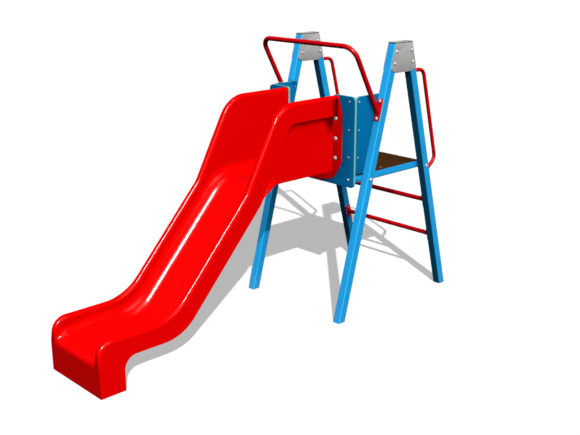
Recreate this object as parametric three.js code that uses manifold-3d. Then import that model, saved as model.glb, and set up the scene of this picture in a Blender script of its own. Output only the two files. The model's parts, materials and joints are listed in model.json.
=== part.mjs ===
// A straight playground slide: two A-frames carry a standing deck, a one-piece
// moulded chute bolts to the front guard board, and rungs climb the rear legs.
// Millimetres, +Z up. The slide runs down towards -Y, the climb is on the +Y side.
import * as THREE from 'three';
import { mergeVertices } from 'three/addons/utils/BufferGeometryUtils.js';
import Module from 'manifold-3d';

const wasm = await Module();
wasm.setup();

// ---- Driving dimensions -----------------------------------------------------------
const GAP = 0.3; // left between pieces that touch
const CLEARANCE = 0.8; // round a bolt in its hole

const FRAME_HEIGHT = 1900;
const FOOT_REACH = 600; // leg's outer edge from the A-frame's middle, on the ground
const TOP_REACH = 90; // the same at the top
const LEG_OUTER_X = 480;
const TUBE = 60;
const TUBE_WALL = 3;
const FOOT_PLATE = 4;
const CAP_HEAD = 6;
const CAP_PLUG = 22;
const COVER_PLATE = 3;

const APEX_PLATE = 5;
const APEX_INSET = 4; // plate's edge inside the leg's outer edge
const APEX_TOP_Z = 1892; // a little below the cover, which leaves a shadow line
const APEX_SHOULDER_Z = 1719;
const APEX_BOTTOM_Z = 1694;
const APEX_BOTTOM_HALF = 80;
const APEX_BOLT_HEIGHTS = [1838, 1759];

const DECK_TOP = 1008;
const DECK_BOARD = 15;
const DECK_REAR_Y = 335;
const RAIL_DEPTH = 40;
const RAIL_WIDTH = 25;
const RAIL_BOLT_Z = 987;
const BEARER_WIDTH = 40;

const BOARD = 19; // guard boards
const BOARD_FRONT_Y = -416;
const BOARD_TOP = 1558;
const FRONT_BOARD_BOTTOM = 931;
const SIDE_BOARD_BOTTOM = 1026; // a little above the deck rail
const BOARD_CORNER = 30;

const CHUTE_HALF = 275; // outer face of the side skirts
const TROUGH_HALF = 222; // inner face of the side walls
const SHELL = 8;
const RIM_ROUND = 20;
const TROUGH_FILLET = 90;
const FLANGE = 10;
const CHUTE_START_Z = 1006; // the trough's floor at the deck
const CHUTE_END = 2385; // the exit's nose, forward of the A-frames' middle
const FOOT_REAR = 2211; // back of the exit's front wall
const RIM_Z = 1553;
const EXIT_RIM_Z = 346;
const EXIT_FLOOR_Z = 225;
const START_UNDER_Z = 1022; // the lower edge beside the deck, above the trough's floor
const UNDER = 13; // the lower edge below the trough's floor at the exit
const RECESS_TOP_Z = 1417; // the skirt's lower edge beside the deck
const FLARE = 35; // how far the lower lip turns out towards the skirt
const FLARE_HEIGHT = 50;
const FLARE_START = 930;
const FLARE_FULL = 1060;
const LIP_FADE = 1140; // where the lip starts to fade, behind the skirt
const LIP_END = 1200;
const SLIDE_BOLT_X = 257;
const SLIDE_BOLT_HEIGHTS = [1397, 1259, 1121];

const RUNG_HEIGHTS = [416, 701];
const RUNG_DIAMETER = 33.7;
const LUG = 5; // welded foot plates of the rungs, hoop and handles
const LUG_WIDTH = 50;
const RUNG_LUG_LENGTH = 105;
const RUNG_BOLT_OFFSET = 35;

const HOOP_DIAMETER = 33.7;
const HOOP_HALF = 445;
const HOOP_LEAN = THREE.MathUtils.degToRad(29.5); // forward of upright
const HOOP_TOP_Z = 1893;
const HOOP_BEND = 90;
const HOOP_LUG_LENGTH = 152;
const HOOP_LUG_Z = 1454;
const HOOP_BOLT_OFFSET = 60;

const HANDLE_DIAMETER = 26.9;
const HANDLE_BEND = 60;
const HANDLE_LUG_LENGTH = 70;
const HANDLE_LUG_WIDTH = 36;
const HANDLE_TOP_Z = 1688;
const HANDLE_LOW_Z = 944; // where its lower end meets the leg
const HANDLE_ELBOW_Z = 1018; // where it turns in towards that end
const HANDLE_REACH = 112;

const BAR_SIDES = 12;
const BOLT_SIDES = 8;
const BEND_STEPS = 6;

// ---- Colours ----------------------------------------------------------------------
const paint = (color, roughness, metalness) =>
  new THREE.MeshStandardMaterial({ color, roughness, metalness });
const FINISH = {
  chute: paint(0xe60505, 0.22, 0),
  frame: paint(0x1e91e1, 0.35, 0.1),
  board: paint(0x0162a8, 0.4, 0),
  bar: paint(0xd41018, 0.3, 0.1),
  plate: paint(0xa6a5a4, 0.5, 0.7),
  bolt: paint(0xd8d8dc, 0.25, 0.9),
  deck: paint(0x432e1d, 0.8, 0),
  cap: paint(0x101418, 0.5, 0),
};

// ---- Where the legs are -------------------------------------------------------------
const LEAN = (FOOT_REACH - TOP_REACH) / FRAME_HEIGHT;
const LEAN_ANGLE = Math.atan(LEAN);
const FOOTPRINT = TUBE / Math.cos(LEAN_ANGLE); // leg's length along Y at any height
const LEG_INNER_X = LEG_OUTER_X - TUBE;
const LEG_MIDDLE_X = LEG_OUTER_X - TUBE / 2;
const LEG_TOP = FRAME_HEIGHT - COVER_PLATE - CAP_HEAD - 2 * GAP;
const outerReach = (z) => FOOT_REACH - LEAN * z;
const middleReach = (z) => outerReach(z) - FOOTPRINT / 2;

// ---- Outlines -------------------------------------------------------------------------
// Rounds the corners [a, b, radius] of an open or closed outline with arcs.
function rounded(corners, closed = true, steps = BEND_STEPS) {
  const points = [];
  corners.forEach(([a, b, radius = 0], i) => {
    const here = new THREE.Vector2(a, b);
    const end = !closed && (i === 0 || i === corners.length - 1);
    if (end || radius === 0) {
      points.push(here);
      return;
    }
    const neighbour = (n) => corners[(n + corners.length) % corners.length];
    const back = new THREE.Vector2(...neighbour(i - 1).slice(0, 2)).sub(here).normalize();
    const ahead = new THREE.Vector2(...neighbour(i + 1).slice(0, 2)).sub(here).normalize();
    const half = Math.acos(back.dot(ahead)) / 2;
    const centre = back.clone().add(ahead).setLength(radius / Math.sin(half)).add(here);
    const start = back.clone().multiplyScalar(radius / Math.tan(half)).add(here).sub(centre);
    const sweep = (Math.PI - 2 * half) * Math.sign(ahead.cross(back));
    for (let k = 0; k <= steps; k += 1) {
      points.push(start.clone().rotateAround(new THREE.Vector2(), (sweep * k) / steps).add(centre));
    }
  });
  return points;
}

// A flat shape pushed along one axis, with the outline given in the other two.
const PLANES = {
  YZ: new THREE.Matrix4().set(0, 0, 1, 0, 1, 0, 0, 0, 0, 1, 0, 0, 0, 0, 0, 1),
  XZ: new THREE.Matrix4().set(1, 0, 0, 0, 0, 0, -1, 0, 0, 1, 0, 0, 0, 0, 0, 1),
  XY: new THREE.Matrix4(),
};
function prism(plane, points, low, high) {
  const shape = new THREE.Shape(points);
  const body = new THREE.ExtrudeGeometry(shape, { depth: high - low, bevelEnabled: false });
  body.translate(0, 0, plane === 'XZ' ? -high : low);
  return body.applyMatrix4(PLANES[plane]);
}

const box = (x0, x1, y0, y1, z0, z1) =>
  new THREE.BoxGeometry(x1 - x0, y1 - y0, z1 - z0)
    .translate((x0 + x1) / 2, (y0 + y1) / 2, (z0 + z1) / 2);

// ---- Joining and cutting ----------------------------------------------------------------
function solid(geometry) {
  const bare = geometry.clone();
  bare.deleteAttribute('normal');
  bare.deleteAttribute('uv');
  const merged = mergeVertices(bare, 1e-3);
  return new wasm.Manifold(new wasm.Mesh({
    numProp: 3,
    vertProperties: Float32Array.from(merged.attributes.position.array),
    triVerts: Uint32Array.from(merged.index.array),
  }));
}

function shell(body) {
  const { vertProperties, triVerts } = body.getMesh();
  const geometry = new THREE.BufferGeometry();
  geometry.setAttribute('position', new THREE.BufferAttribute(vertProperties, 3));
  geometry.setIndex(new THREE.BufferAttribute(triVerts, 1));
  geometry.computeVertexNormals();
  return geometry;
}

const cut = (geometry, tools) =>
  shell(tools.reduce((body, tool) => body.subtract(solid(tool)), solid(geometry)));
const joined = (geometries) =>
  shell(geometries.slice(1).reduce((body, more) => body.add(solid(more)), solid(geometries[0])));

// ---- Round things -------------------------------------------------------------------------
// Turns a shape made along +Y to point along `direction`, and moves it to `origin`.
function aim(geometry, origin, direction) {
  const turn = new THREE.Quaternion().setFromUnitVectors(new THREE.Vector3(0, 1, 0), direction);
  return geometry.applyQuaternion(turn).translate(...origin.toArray());
}

// A hole cutter along `direction`, `before` behind and `after` ahead of `origin`.
function drill(origin, direction, radius, before, after) {
  const bit = new THREE.CylinderGeometry(radius, radius, before + after, BOLT_SIDES);
  bit.translate(0, (after - before) / 2, 0);
  return aim(bit, origin, direction);
}

// A bolt with a domed head at `origin`, its shank going the other way from `direction`.
// With `nut` it ends in a domed nut that lies `grip` below the head, else in a plain end.
function bolt(origin, direction, { head, shank, grip, nut = true }) {
  const dome = head * 0.72;
  const collar = head * 0.2;
  const tail = nut
    ? [[0, -grip - dome], [head * 0.62, -grip - dome * 0.8], [head * 0.9, -grip - collar],
       [head * 0.9, -grip], [shank, -grip]]
    : [[0, -grip], [shank, -grip]];
  const profile = [...tail, [shank, 0], [head, 0], [head, collar], [head * 0.62, dome * 0.8], [0, dome]];
  const turned = new THREE.LatheGeometry(profile.map(([r, y]) => new THREE.Vector2(r, y)), BOLT_SIDES);
  return aim(shell(solid(turned)), origin, direction);
}

// A round bar bent from straight lengths and arcs: it is sampled where bends start and end.
class BentBar extends THREE.Curve {
  constructor(corners, bend) {
    super();
    this.points = [];
    corners.forEach((here, i) => {
      if (i === 0 || i === corners.length - 1) {
        this.points.push(here);
        return;
      }
      const back = corners[i - 1].clone().sub(here).normalize();
      const ahead = corners[i + 1].clone().sub(here).normalize();
      const half = back.angleTo(ahead) / 2;
      const centre = back.clone().add(ahead).setLength(bend / Math.sin(half)).add(here);
      const start = back.clone().multiplyScalar(bend / Math.tan(half)).add(here).sub(centre);
      const axis = ahead.clone().cross(back).normalize();
      for (let k = 0; k <= BEND_STEPS; k += 1) {
        const turn = ((Math.PI - 2 * half) * k) / BEND_STEPS;
        this.points.push(start.clone().applyAxisAngle(axis, turn).add(centre));
      }
    });
  }

  getPoint(t, target = new THREE.Vector3()) {
    const place = t * (this.points.length - 1);
    const i = Math.min(Math.floor(place), this.points.length - 2);
    return target.lerpVectors(this.points[i], this.points[i + 1], place - i);
  }

  getPointAt(t, target) {
    return this.getPoint(t, target);
  }

  // Halfway between the directions of the two straight pieces that meet here.
  getTangentAt(t, target = new THREE.Vector3()) {
    const i = Math.round(t * (this.points.length - 1));
    const before = this.points[Math.max(i - 1, 0)];
    const after = this.points[Math.min(i + 1, this.points.length - 1)];
    const here = this.points[i];
    const arrive = here.clone().sub(before).normalize();
    const leave = after.clone().sub(here).normalize();
    return target.addVectors(arrive, leave).normalize();
  }

  getSpacedPoints() {
    return this.points;
  }
}

function bentBar(corners, diameter, bend) {
  const path = new BentBar(corners, bend);
  const section = Array.from({ length: BAR_SIDES }, (_, k) => {
    const turn = (2 * Math.PI * k) / BAR_SIDES;
    return new THREE.Vector2(Math.cos(turn), Math.sin(turn)).multiplyScalar(diameter / 2);
  });
  return new THREE.ExtrudeGeometry(new THREE.Shape(section), {
    steps: path.points.length - 1,
    extrudePath: path,
  });
}

// ---- The object -----------------------------------------------------------------------------
const tower = new THREE.Group(); // Y = 0 at the A-frames' middle
tower.position.y = (CHUTE_END - FOOT_REACH) / 2;
const group = new THREE.Group();
group.add(tower);

function place(name, geometry, finish) {
  const mesh = new THREE.Mesh(geometry, finish);
  mesh.name = name;
  tower.add(mesh);
}

const SIDES = { right: 1, left: -1 };
const ENDS = { front: -1, rear: 1 };
const vector = (x, y, z) => new THREE.Vector3(x, y, z);
const across = (side) => vector(side, 0, 0);

// Where a bolt goes through a leg, on the leg's middle line.
const onLeg = (x, end, z) => vector(x, end * middleReach(z), z);
// Square to a leg's outer edge, pointing away from the A-frame.
const outOfLeg = (end) => vector(0, end * Math.cos(LEAN_ANGLE), Math.sin(LEAN_ANGLE));
const alongLeg = (end) => vector(0, -end * Math.sin(LEAN_ANGLE), Math.cos(LEAN_ANGLE));
// The middle of a leg's outer edge face.
const onLegEdge = (x, end, z) => vector(x, end * outerReach(z), z);

const BOLTS = {
  apex: { head: 12, shank: 5, grip: TUBE + 2 * (APEX_PLATE + 2 * GAP) },
  rail: { head: 13.5, shank: 5, grip: TUBE + RAIL_WIDTH + 3 * GAP },
  slide: { head: 15.5, shank: 5, grip: BOARD + FLANGE + 3 * GAP },
  rung: { head: 8, shank: 4, grip: 22, nut: false },
  hoop: { head: 12, shank: 4, grip: 24, nut: false },
};
const holeFor = (kind) => BOLTS[kind].shank + CLEARANCE;

// ---- Legs, caps and apex plates ----------------------------------------------------------------
// A leg's outline in Y and Z between two heights, `inset` inside its two edges.
function legOutline(end, z0, z1, inset = 0) {
  const edge = (z, reach) => [end * reach, z];
  const skew = inset / Math.cos(LEAN_ANGLE);
  return [
    edge(z0, outerReach(z0) - skew),
    edge(z1, outerReach(z1) - skew),
    edge(z1, outerReach(z1) - FOOTPRINT + skew),
    edge(z0, outerReach(z0) - FOOTPRINT + skew),
  ].map(([y, z]) => new THREE.Vector2(y, z));
}

// The low and high X of a band on one side of the object.
const band = (side, inner, outer) => (side > 0 ? [inner, outer] : [-outer, -inner]);

function rungBoltPlaces(side) {
  return RUNG_HEIGHTS.flatMap((z) => [-1, 1].map((way) =>
    onLeg(side * LEG_INNER_X, 1, z).addScaledVector(alongLeg(1), way * RUNG_BOLT_OFFSET)));
}

function hoopBoltPlaces(side) {
  return [-1, 1].map((way) => onLegEdge(side * LEG_MIDDLE_X, -1, HOOP_LUG_Z)
    .addScaledVector(alongLeg(-1), way * HOOP_BOLT_OFFSET));
}

function leg(side, end) {
  const wall = TUBE_WALL;
  const tube = prism('YZ', legOutline(end, 0, LEG_TOP), ...band(side, LEG_INNER_X, LEG_OUTER_X));
  const hollow = prism('YZ', legOutline(end, FOOT_PLATE, LEG_TOP + TUBE, wall),
    ...band(side, LEG_INNER_X + wall, LEG_OUTER_X - wall));
  const through = [...APEX_BOLT_HEIGHTS.map((z) => [z, 'apex']), [RAIL_BOLT_Z, 'rail']]
    .map(([z, kind]) => drill(onLeg(side * LEG_MIDDLE_X, end, z), across(1), holeFor(kind), TUBE, TUBE));
  const inOneWall = end > 0
    ? rungBoltPlaces(side).map((at) => drill(at, across(side), holeFor('rung'), TUBE / 4, TUBE / 4))
    : hoopBoltPlaces(side).map((at) => drill(at, outOfLeg(end), holeFor('hoop'), TUBE / 4, TUBE / 4));
  return cut(tube, [hollow, ...through, ...inOneWall]);
}

function legCap(side, end) {
  const inset = TUBE_WALL + CLEARANCE;
  const base = LEG_TOP + GAP;
  const head = prism('YZ', legOutline(end, base, base + CAP_HEAD), ...band(side, LEG_INNER_X, LEG_OUTER_X));
  const plug = prism('YZ', legOutline(end, LEG_TOP - CAP_PLUG, base + CAP_HEAD / 2, inset),
    ...band(side, LEG_INNER_X + inset, LEG_OUTER_X - inset));
  return joined([head, plug]);
}

function apexPlate(x0, x1) {
  const half = (z) => outerReach(z) - APEX_INSET;
  const outline = rounded([
    [-half(APEX_TOP_Z), APEX_TOP_Z, 3],
    [-half(APEX_SHOULDER_Z), APEX_SHOULDER_Z, 6],
    [-APEX_BOTTOM_HALF, APEX_BOTTOM_Z, 10],
    [APEX_BOTTOM_HALF, APEX_BOTTOM_Z, 10],
    [half(APEX_SHOULDER_Z), APEX_SHOULDER_Z, 6],
    [half(APEX_TOP_Z), APEX_TOP_Z, 3],
  ], true, 3);
  const holes = APEX_BOLT_HEIGHTS.flatMap((z) => Object.values(ENDS).map((end) =>
    drill(onLeg((x0 + x1) / 2, end, z), across(1), holeFor('apex'), APEX_PLATE, APEX_PLATE)));
  return cut(prism('YZ', outline, x0, x1), holes);
}

for (const [sideName, side] of Object.entries(SIDES)) {
  for (const [endName, end] of Object.entries(ENDS)) {
    place(`leg_${endName}_${sideName}`, leg(side, end), FINISH.frame);
    place(`leg_cap_${endName}_${sideName}`, legCap(side, end), FINISH.cap);
    APEX_BOLT_HEIGHTS.forEach((z, i) => {
      const face = onLeg(side * (LEG_OUTER_X + APEX_PLATE + 2 * GAP), end, z);
      place(`apex_bolt_${endName}_${sideName}_${i + 1}`, bolt(face, across(side), BOLTS.apex), FINISH.bolt);
    });
    const face = onLeg(side * (LEG_OUTER_X + GAP), end, RAIL_BOLT_Z);
    place(`rail_bolt_${endName}_${sideName}`, bolt(face, across(side), BOLTS.rail), FINISH.bolt);
  }
  const outside = band(side, LEG_OUTER_X + GAP, LEG_OUTER_X + GAP + APEX_PLATE);
  const inside = band(side, LEG_INNER_X - GAP - APEX_PLATE, LEG_INNER_X - GAP);
  place(`apex_plate_outer_${sideName}`, apexPlate(...outside), FINISH.plate);
  place(`apex_plate_inner_${sideName}`, apexPlate(...inside), FINISH.plate);
  const [coverLow, coverHigh] = band(side, LEG_INNER_X - GAP - APEX_PLATE, LEG_OUTER_X + GAP + APEX_PLATE);
  place(`apex_cover_${sideName}`, box(coverLow, coverHigh, -TOP_REACH, TOP_REACH,
    FRAME_HEIGHT - COVER_PLATE, FRAME_HEIGHT), FINISH.plate);
}

// ---- Deck and its frame ---------------------------------------------------------------------------
const BOARD_BACK_Y = BOARD_FRONT_Y + BOARD;
const DECK_FRONT_Y = BOARD_BACK_Y + GAP;
const RAIL_OUTER_X = LEG_INNER_X - GAP;
const RAIL_INNER_X = RAIL_OUTER_X - RAIL_WIDTH;
const RAIL_BOTTOM = DECK_TOP - RAIL_DEPTH;
const BEARER_TOP = DECK_TOP - DECK_BOARD - GAP;

for (const [sideName, side] of Object.entries(SIDES)) {
  const [low, high] = band(side, RAIL_INNER_X, RAIL_OUTER_X);
  const rail = box(low, high, DECK_FRONT_Y, DECK_REAR_Y, RAIL_BOTTOM, DECK_TOP);
  const holes = Object.values(ENDS).map((end) =>
    drill(onLeg((low + high) / 2, end, RAIL_BOLT_Z), across(1), holeFor('rail'), RAIL_WIDTH, RAIL_WIDTH));
  place(`deck_rail_${sideName}`, cut(rail, holes), FINISH.frame);
}

// The rail bolts' nuts stand inside the rails, so a bearer that would meet one stops short.
const BEARER_HALF = RAIL_INNER_X - GAP;
const bearerAt = {
  front: DECK_FRONT_Y,
  middle: (DECK_FRONT_Y + DECK_REAR_Y - BEARER_WIDTH) / 2,
  rear: DECK_REAR_Y - BEARER_WIDTH,
};
const NUT_DEPTH = 14;
const roomForNuts = () => Object.values(SIDES).flatMap((side) => Object.values(ENDS).map((end) =>
  drill(onLeg(side * BEARER_HALF, end, RAIL_BOLT_Z), across(1), BOLTS.rail.head + 1, NUT_DEPTH, NUT_DEPTH)));
for (const [name, y] of Object.entries(bearerAt)) {
  const bearer = box(-BEARER_HALF, BEARER_HALF, y, y + BEARER_WIDTH, RAIL_BOTTOM, BEARER_TOP);
  place(`deck_bearer_${name}`, cut(bearer, roomForNuts()), FINISH.frame);
}
place('deck_board', cut(box(-BEARER_HALF, BEARER_HALF, DECK_FRONT_Y, DECK_REAR_Y,
  DECK_TOP - DECK_BOARD, DECK_TOP), roomForNuts()), FINISH.deck);

// ---- Guard boards ------------------------------------------------------------------------------------
const FRONT_BOARD_HALF = LEG_INNER_X + 1;

function throughSlideBolts(y, reach) {
  return Object.values(SIDES).flatMap((side) => SLIDE_BOLT_HEIGHTS.map((z) =>
    drill(vector(side * SLIDE_BOLT_X, y, z), vector(0, 1, 0), holeFor('slide'), reach, reach)));
}

function frontBoard() {
  const half = FRONT_BOARD_HALF;
  const outline = rounded([
    [-half, FRONT_BOARD_BOTTOM, BOARD_CORNER], [half, FRONT_BOARD_BOTTOM, BOARD_CORNER],
    [half, BOARD_TOP, BOARD_CORNER], [TROUGH_HALF, BOARD_TOP, RIM_ROUND],
    [TROUGH_HALF, CHUTE_START_Z, TROUGH_FILLET], [-TROUGH_HALF, CHUTE_START_Z, TROUGH_FILLET],
    [-TROUGH_HALF, BOARD_TOP, RIM_ROUND], [-half, BOARD_TOP, BOARD_CORNER],
  ]);
  const board = prism('XZ', outline, BOARD_FRONT_Y, BOARD_BACK_Y);
  return cut(board, throughSlideBolts(BOARD_FRONT_Y, 2 * BOARD));
}
place('front_board', frontBoard(), FINISH.board);

// A side board reaches back to the middle of the front leg, cut to the leg's slope.
for (const [name, side] of Object.entries(SIDES)) {
  const outline = rounded([
    [DECK_FRONT_Y, SIDE_BOARD_BOTTOM, 5],
    [-middleReach(SIDE_BOARD_BOTTOM), SIDE_BOARD_BOTTOM, 5],
    [-middleReach(BOARD_TOP), BOARD_TOP, 20],
    [DECK_FRONT_Y, BOARD_TOP, BOARD_CORNER],
  ]);
  const outer = LEG_INNER_X - GAP;
  place(`side_board_${name}`, prism('YZ', outline, ...band(side, outer - BOARD, outer)), FINISH.board);
}

// ---- The chute ------------------------------------------------------------------------------------------
// A side profile in run (forward of the A-frames' middle) and height, with rounded corners.
class Profile {
  constructor(corners) {
    this.points = rounded(corners, false, 24);
    this.reach = [0];
    this.points.slice(1).forEach((p, i) => this.reach.push(this.reach[i] + p.distanceTo(this.points[i])));
    this.bends = corners.slice(1, -1).map((corner, i) => {
      const first = 1 + i * 25;
      return [this.reach[first], this.reach[first + 24]];
    });
    this.length = this.reach.at(-1);
  }

  at(distance) {
    const i = Math.min(this.reach.findLastIndex((d) => d <= distance), this.points.length - 2);
    const part = (distance - this.reach[i]) / (this.reach[i + 1] - this.reach[i]);
    return this.points[i].clone().lerp(this.points[i + 1], part);
  }

  // How far along the line from `origin` in `direction` it meets this profile, nearest to `guess`.
  meet(origin, direction, guess) {
    let best = null;
    this.points.slice(1).forEach((b, i) => {
      const a = this.points[i];
      const edge = b.clone().sub(a);
      const turn = direction.cross(edge);
      if (Math.abs(turn) < 1e-9) return;
      const offset = a.clone().sub(origin);
      const along = offset.cross(edge) / turn;
      const within = offset.cross(direction) / turn;
      if (within < -1e-6 || within > 1 + 1e-6) return;
      if (best === null || Math.abs(along - guess) < Math.abs(best - guess)) best = along;
    });
    return best;
  }
}

const CHUTE_START = -BOARD_FRONT_Y + GAP;
const EXIT_UNDER_Z = EXIT_FLOOR_Z - UNDER;

const rimLine = new Profile([
  [CHUTE_START, RIM_Z], [942, RIM_Z, 225], [1240, 1011, 170],
  [1847, EXIT_RIM_Z, 350], [CHUTE_END, EXIT_RIM_Z, 100], [CHUTE_END, 0],
]);
const floorLine = new Profile([
  [CHUTE_START, CHUTE_START_Z], [1073, CHUTE_START_Z, 230],
  [1796, EXIT_FLOOR_Z, 300], [CHUTE_END, EXIT_FLOOR_Z, 50], [CHUTE_END, 0],
]);
const underLine = new Profile([
  [CHUTE_START, START_UNDER_Z], [1042, START_UNDER_Z, 243],
  [1782, EXIT_UNDER_Z, 313], [FOOT_REAR, EXIT_UNDER_Z, 85], [FOOT_REAR, 0],
]);
const skirtLine = new Profile([[CHUTE_START - 50, RECESS_TOP_Z], [865, RECESS_TOP_Z, 80], [1150, 888]]);

// Half of the shell's section: [x, height above the under line], from the middle of the
// underside out to the skirt, over the rim and down into the middle of the trough. Below the
// trough's fillet hangs a lip, whole where `fade` is 0 and gone where it is 1. Its lower edge
// is turned out by `flare`.
function chuteSection(depth, floor, skirt, fade, flare) {
  const { lerp } = THREE.MathUtils;
  const wall = depth - floor;
  const rim = Math.min(RIM_ROUND, wall * 0.4);
  const rise = Math.min(TROUGH_FILLET, wall - rim * 1.2);
  const arc = (steps, point) => Array.from({ length: steps + 1 }, (_, k) => point(k / steps));
  const quarter = (steps, point) => arc(steps, (part) => point((Math.PI / 2) * part));
  const under = floor - SHELL;
  const underRise = Math.min(rise + SHELL, wall * 0.9);
  const outside = TROUGH_HALF + SHELL;
  const lipTurn = lerp(Math.asin(TROUGH_FILLET / (TROUGH_FILLET + SHELL)), Math.PI / 2, fade);
  const faded = under + underRise;
  const step = Math.min(depth - SHELL - faded, 10) * 0.15;
  const lip = [0, 1, 2, 3].map((k) => [
    outside + flare * (0.5 + 0.5 * Math.cos((Math.PI * k) / 3)), (FLARE_HEIGHT * k) / 3,
  ]);
  return [
    [0, under],
    ...arc(3, (part) => [
      TROUGH_HALF - TROUGH_FILLET + (TROUGH_FILLET + SHELL) * Math.sin(lipTurn * part),
      under + underRise * (1 - Math.cos(lipTurn * part)),
    ]),
    [lerp(TROUGH_HALF + 1 + flare, outside, fade), lerp(0, faded + step, fade)],
    ...lip.map(([x, h], k) => [lerp(x, outside, fade), lerp(h, faded + (k + 2) * step, fade)]),
    [outside, depth - SHELL],
    [CHUTE_HALF - SHELL, depth - SHELL],
    [CHUTE_HALF - SHELL, skirt],
    [CHUTE_HALF, skirt],
    ...quarter(2, (t) => [CHUTE_HALF - rim + rim * Math.cos(t), depth - rim + rim * Math.sin(t)]),
    ...quarter(2, (t) => [TROUGH_HALF + rim - rim * Math.sin(t), depth - rim + rim * Math.cos(t)]),
    ...quarter(5, (t) => [
      TROUGH_HALF - TROUGH_FILLET + TROUGH_FILLET * Math.cos(t),
      floor + rise * (1 - Math.sin(t)),
    ]),
    [0, floor],
  ];
}

// Each station is a slice that leans with the slide, from the under line to the rim line.
function chuteStations() {
  const [underTop, underFoot, underRear] = underLine.bends;
  const [rimTop, rimKnee, rimFoot, rimNose] = rimLine.bends;
  const underKnee = underTop[1] + 18; // the under line's partner for the end of the rim's knee
  const underFlare = [underFoot[0] - 70, underFoot[1] + 79];
  const underNose = underRear[0] + 50;
  const underDown = underRear[1] + 60;
  const rimFlat = rimNose[0] - 135;
  const rimDown = rimNose[1] + 110;
  const spans = [ // [steps, under from, under to, rim from, rim to]
    [2, 0, rimTop[0], 0, rimTop[0]],
    [4, rimTop[0], underTop[0], rimTop[0], rimTop[1]],
    [6, underTop[0], underTop[1], rimTop[1], rimKnee[0]],
    [2, underTop[1], underKnee, rimKnee[0], rimKnee[1]],
    [2, underKnee, underFlare[0], rimKnee[1], rimFoot[0]],
    [8, underFlare[0], underFlare[1], rimFoot[0], rimFoot[1]],
    [2, underFlare[1], underRear[0], rimFoot[1], rimFlat],
    [3, underRear[0], underNose, rimFlat, rimNose[0]],
    [7, underNose, underRear[1], rimNose[0], rimNose[1]],
    [5, underRear[1], underDown, rimNose[1], rimDown],
    [1, underDown, underLine.length, rimDown, rimLine.length],
  ];
  const stations = spans.flatMap(([steps, u0, u1, r0, r1]) =>
    Array.from({ length: steps }, (_, k) => [u0 + ((u1 - u0) * k) / steps, r0 + ((r1 - r0) * k) / steps]));
  stations.push([underLine.length, rimLine.length]);
  return stations.map(([under, rim]) => [underLine.at(under), rimLine.at(rim)]);
}

function chuteShell() {
  const loops = chuteStations().map(([under, rim]) => {
    const depth = rim.distanceTo(under);
    const up = rim.clone().sub(under).divideScalar(depth);
    const floor = Math.min(floorLine.meet(under, up, UNDER) ?? depth, depth - 2);
    const skirt = Math.max(skirtLine.meet(under, up, depth) ?? 0, 0);
    const fade = THREE.MathUtils.smoothstep(under.x, LIP_FADE, LIP_END);
    const flare = FLARE * THREE.MathUtils.smoothstep(under.x, FLARE_START, FLARE_FULL);
    const half = chuteSection(depth, floor, skirt, fade, flare);
    const other = half.slice(1, -1).reverse().map(([x, h]) => [-x, h]);
    return [...half, ...other].map(([x, h]) => vector(x, -(under.x + up.x * h), under.y + up.y * h));
  });
  const count = loops[0].length;
  const flat = loops[0].map((p) => new THREE.Vector2(p.x, p.z));
  const ends = THREE.ShapeUtils.triangulateShape(flat, []);
  const last = (loops.length - 1) * count;
  const index = ends.flatMap(([a, b, c]) => [a, c, b]);
  const lastFlat = loops.at(-1).map((p) => new THREE.Vector2(p.x, -p.y));
  THREE.ShapeUtils.triangulateShape(lastFlat, []).forEach(([a, b, c]) => index.push(last + a, last + b, last + c));
  for (let s = 0; s < loops.length - 1; s += 1) {
    for (let k = 0; k < count; k += 1) {
      const a = s * count + k;
      const b = s * count + ((k + 1) % count);
      index.push(a, b, a + count, b, b + count, a + count);
    }
  }
  const geometry = new THREE.BufferGeometry();
  const places = loops.flat().flatMap((p) => p.toArray());
  geometry.setAttribute('position', new THREE.Float32BufferAttribute(places, 3));
  geometry.setIndex(index);
  return geometry;
}

// The flange that bolts to the front board: wider than the chute and deeper than its floor.
function chuteFlange() {
  const inner = TROUGH_HALF + SHELL / 2;
  const bottom = CHUTE_START_Z - SHELL / 2;
  const right = [
    [123, 944, 50], [235, 972, 80], [311, 1090, 130], [311, 1440, 150], [277, RIM_Z - SHELL / 2],
  ];
  const left = right.map(([x, z, r]) => [-x, z, r]).reverse();
  const outline = rounded([
    ...right, [inner, RIM_Z - SHELL / 2], [inner, bottom, TROUGH_FILLET],
    [-inner, bottom, TROUGH_FILLET], [-inner, RIM_Z - SHELL / 2], ...left,
  ]);
  return prism('XZ', outline, -CHUTE_START - FLANGE, -CHUTE_START);
}

const chute = solid(chuteShell()).add(solid(chuteFlange()));
place('chute', cut(shell(chute), throughSlideBolts(-CHUTE_START, 2 * FLANGE)), FINISH.chute);

for (const [name, side] of Object.entries(SIDES)) {
  SLIDE_BOLT_HEIGHTS.forEach((z, i) => {
    const face = vector(side * SLIDE_BOLT_X, -CHUTE_START - FLANGE - GAP, z);
    place(`slide_bolt_${name}_${i + 1}`, bolt(face, vector(0, -1, 0), BOLTS.slide), FINISH.bolt);
  });
}

// ---- Rungs ------------------------------------------------------------------------------------------------
function lugOutline(length, width) {
  return rounded([
    [-length / 2, -width / 2, 8], [length / 2, -width / 2, 8],
    [length / 2, width / 2, 8], [-length / 2, width / 2, 8],
  ], true, 3);
}

// A lug plate lying on a face: its length runs along `along` and it stands out along `out`.
function lug(origin, along, out, length, width, holes) {
  const plate = prism('XY', lugOutline(length, width), GAP, GAP + LUG);
  const sideways = out.clone().cross(along);
  plate.applyMatrix4(new THREE.Matrix4().makeBasis(along, sideways, out).setPosition(origin));
  return cut(plate, holes);
}

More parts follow.
